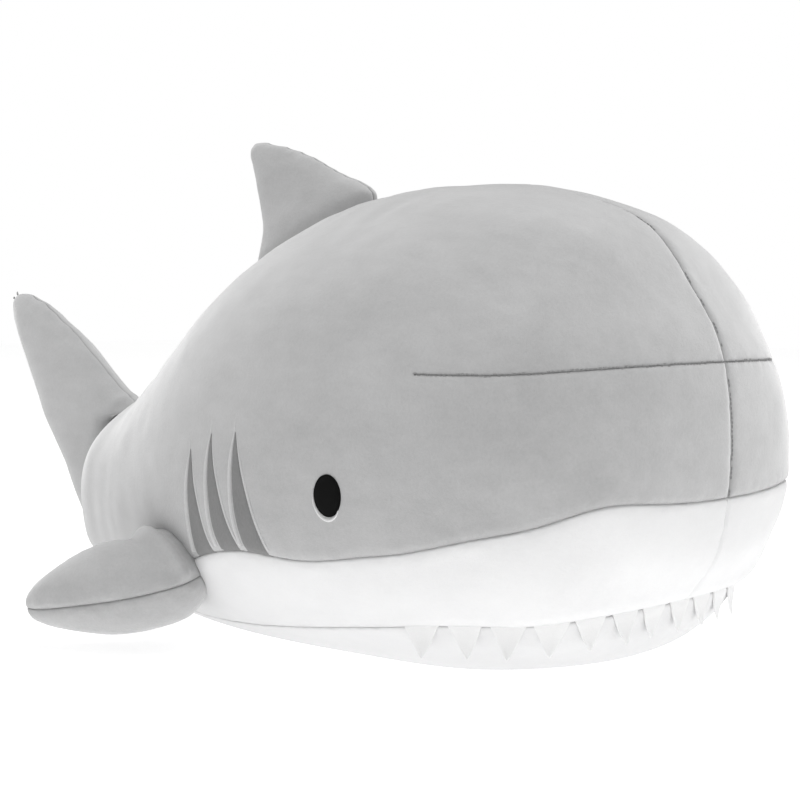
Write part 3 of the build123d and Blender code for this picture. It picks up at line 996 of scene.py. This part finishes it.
def teeth():
    """Pointed felt teeth that hang from the mouth seam, each curling a little off the chin."""
    middle_y = nose_y + 0.5 * body_length
    step_length = 1 * MM
    even, heading = resample(ordered(lines["mouth"], lambda p: math.atan2(p.x, middle_y - p.y)), step_length)
    half = np.argmin(np.abs(even[:, 0]) + (even[:, 1] > middle_y))
    clear = 0.5 * FELT + 0.2 * MM
    for number in range(TOOTH_COUNT):
        offset = (number - (TOOTH_COUNT - 1) / 2) * TOOTH_PITCH
        index = int(np.clip(half + offset / step_length, 0, len(even) - 1))
        foot, along = Vector(even[index]), Vector((*heading[index][:2], 0)).normalized()
        if along.x < 0:
            along.negate()
        outward = Vector((along.y, -along.x, 0))
        lean = 0.16 + 0.06 * math.sin(number * 2.3)
        slant = 0.06 * math.sin(number * 1.7)
        rows = []
        for step in range(15):
            v = step / 14
            half_here = TOOTH_WIDTH / 2 * (0.94 * (1 - v)**0.95 + 0.06 * math.sqrt(1 - v**6))
            row = []
            for part in range(11):
                u = part / 5 - 1
                down = (TOOTH_LENGTH + HIDDEN) * v - HIDDEN
                sideways = along * (u * half_here + slant * down)
                root, _ = on_skin(foot + sideways - Vector((0, 0, LIP_EDGE)), -outward)
                if down < LIP_EDGE:
                    row.append(root + outward * clear + Vector((0, 0, LIP_EDGE - down)))
                    continue
                chin, _ = on_skin(foot + sideways - Vector((0, 0, down)), -outward)
                hang = clear - lean * down + 0.6 * MM * (1 - u * u) * v + 1.6 * MM * v**3
                off = max((root - chin).dot(outward) + hang, clear)
                row.append(chin + outward * off)
            rows.append(row)
        name = f"felt_tooth_{number + 1:02d}"
        piece = sheet_of(name, rows, bright_felt, thick=FELT)
        sewn_on(piece, "felt", name)


teeth()
for side, sign in (("right", -1), ("left", 1)):
    eye(side, sign)
    for number in range(1, len(GILLS) + 1):
        gill(side, sign, number)
    dart = [pair for pair in lines["dart"] if pair[0].x * sign >= -1e-6 and pair[1].x * sign >= -1e-6]
    stitches(f"dart_stitches_{side}", ordered(dart, lambda p: p.y))
over = [pair for pair in lines["centre"] if pair[0].z > colour_seam(pair[0].y) and pair[0].y < -0.06]
over = ordered(over, lambda p: math.atan2(p.z - CENTRE.z, p.y - CENTRE.y) % (2 * math.pi))
stitches("centre_stitches", over)


# ---- floor, light and camera ----
LIGHTS = (("key", (0.1, -0.3, 2.2), 1.8, 31.0), ("rim", (1.5, -0.9, 1.3), 1.2, 2.0))
CAMERA_PLACE, CAMERA_DIP, CAMERA_TURN = (-0.8296, -0.7691, 0.2026), math.radians(3.18), math.radians(-50)


def studio():
    bpy.ops.object.select_all(action="DESELECT")
    bpy.ops.mesh.primitive_plane_add(size=12, location=(0, 0, -0.2 * MM))
    floor = bpy.context.object
    floor.name = "floor"
    paper = Finish(
        "paper", Roughness=0.9, Specular_IOR_Level=0.1, Emission_Color=(1, 1, 1, 1), Emission_Strength=0.5)
    tooth = paper.grain(0.4, 2.0)
    paper.give(Base_Color=paper.shades(tooth, grey(250), grey(253)))
    floor.data.materials.append(paper.material)
    world = bpy.data.worlds.new("studio")
    bpy.context.scene.world = world
    world.use_nodes = True
    sky = world.node_tree.nodes
    sky["Background"].inputs["Color"].default_value = (1, 1, 1, 1)
    sky["Background"].inputs["Strength"].default_value = 0.5
    seen, backdrop, mix = (sky.new(f"ShaderNode{kind}") for kind in ("LightPath", "Background", "MixShader"))
    join = world.node_tree.links.new
    join(seen.outputs["Is Camera Ray"], mix.inputs[0])
    join(sky["Background"].outputs[0], mix.inputs[1])
    join(backdrop.outputs[0], mix.inputs[2])
    join(mix.outputs[0], sky["World Output"].inputs["Surface"])
    backdrop.inputs["Color"].default_value = (1, 1, 1, 1)
    bpy.context.scene.view_settings.view_transform = "Standard"
    for name, place, size, power in LIGHTS:
        light = bpy.data.objects.new(name, bpy.data.lights.new(name, "AREA"))
        bpy.context.scene.collection.objects.link(light)
        light.data.shape, light.data.size, light.data.energy = "DISK", size, power
        light.location = place
        light.rotation_euler = (Vector((0, 0, 0.12)) - light.location).to_track_quat("-Z", "Y").to_euler()
    camera = bpy.data.objects.new("camera", bpy.data.cameras.new("camera"))
    bpy.context.scene.collection.objects.link(camera)
    camera.data.lens, camera.data.sensor_width = 81, 36
    camera.location = CAMERA_PLACE
    camera.rotation_euler = (math.pi / 2 - CAMERA_DIP, 0, CAMERA_TURN)
    bpy.context.scene.camera = camera


studio()


# ---- the body's filling ----
fill_points, fill_normals = mesh_points(fill.data), mesh_normals(fill.data)
loft = 2.0 * MM * lumps(fill_points, 18 * MM, 5) - 9 * MM
set_points(fill.data, fill_points + fill_normals * loft[:, None])
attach(fill, "body")
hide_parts("body_stuffing")
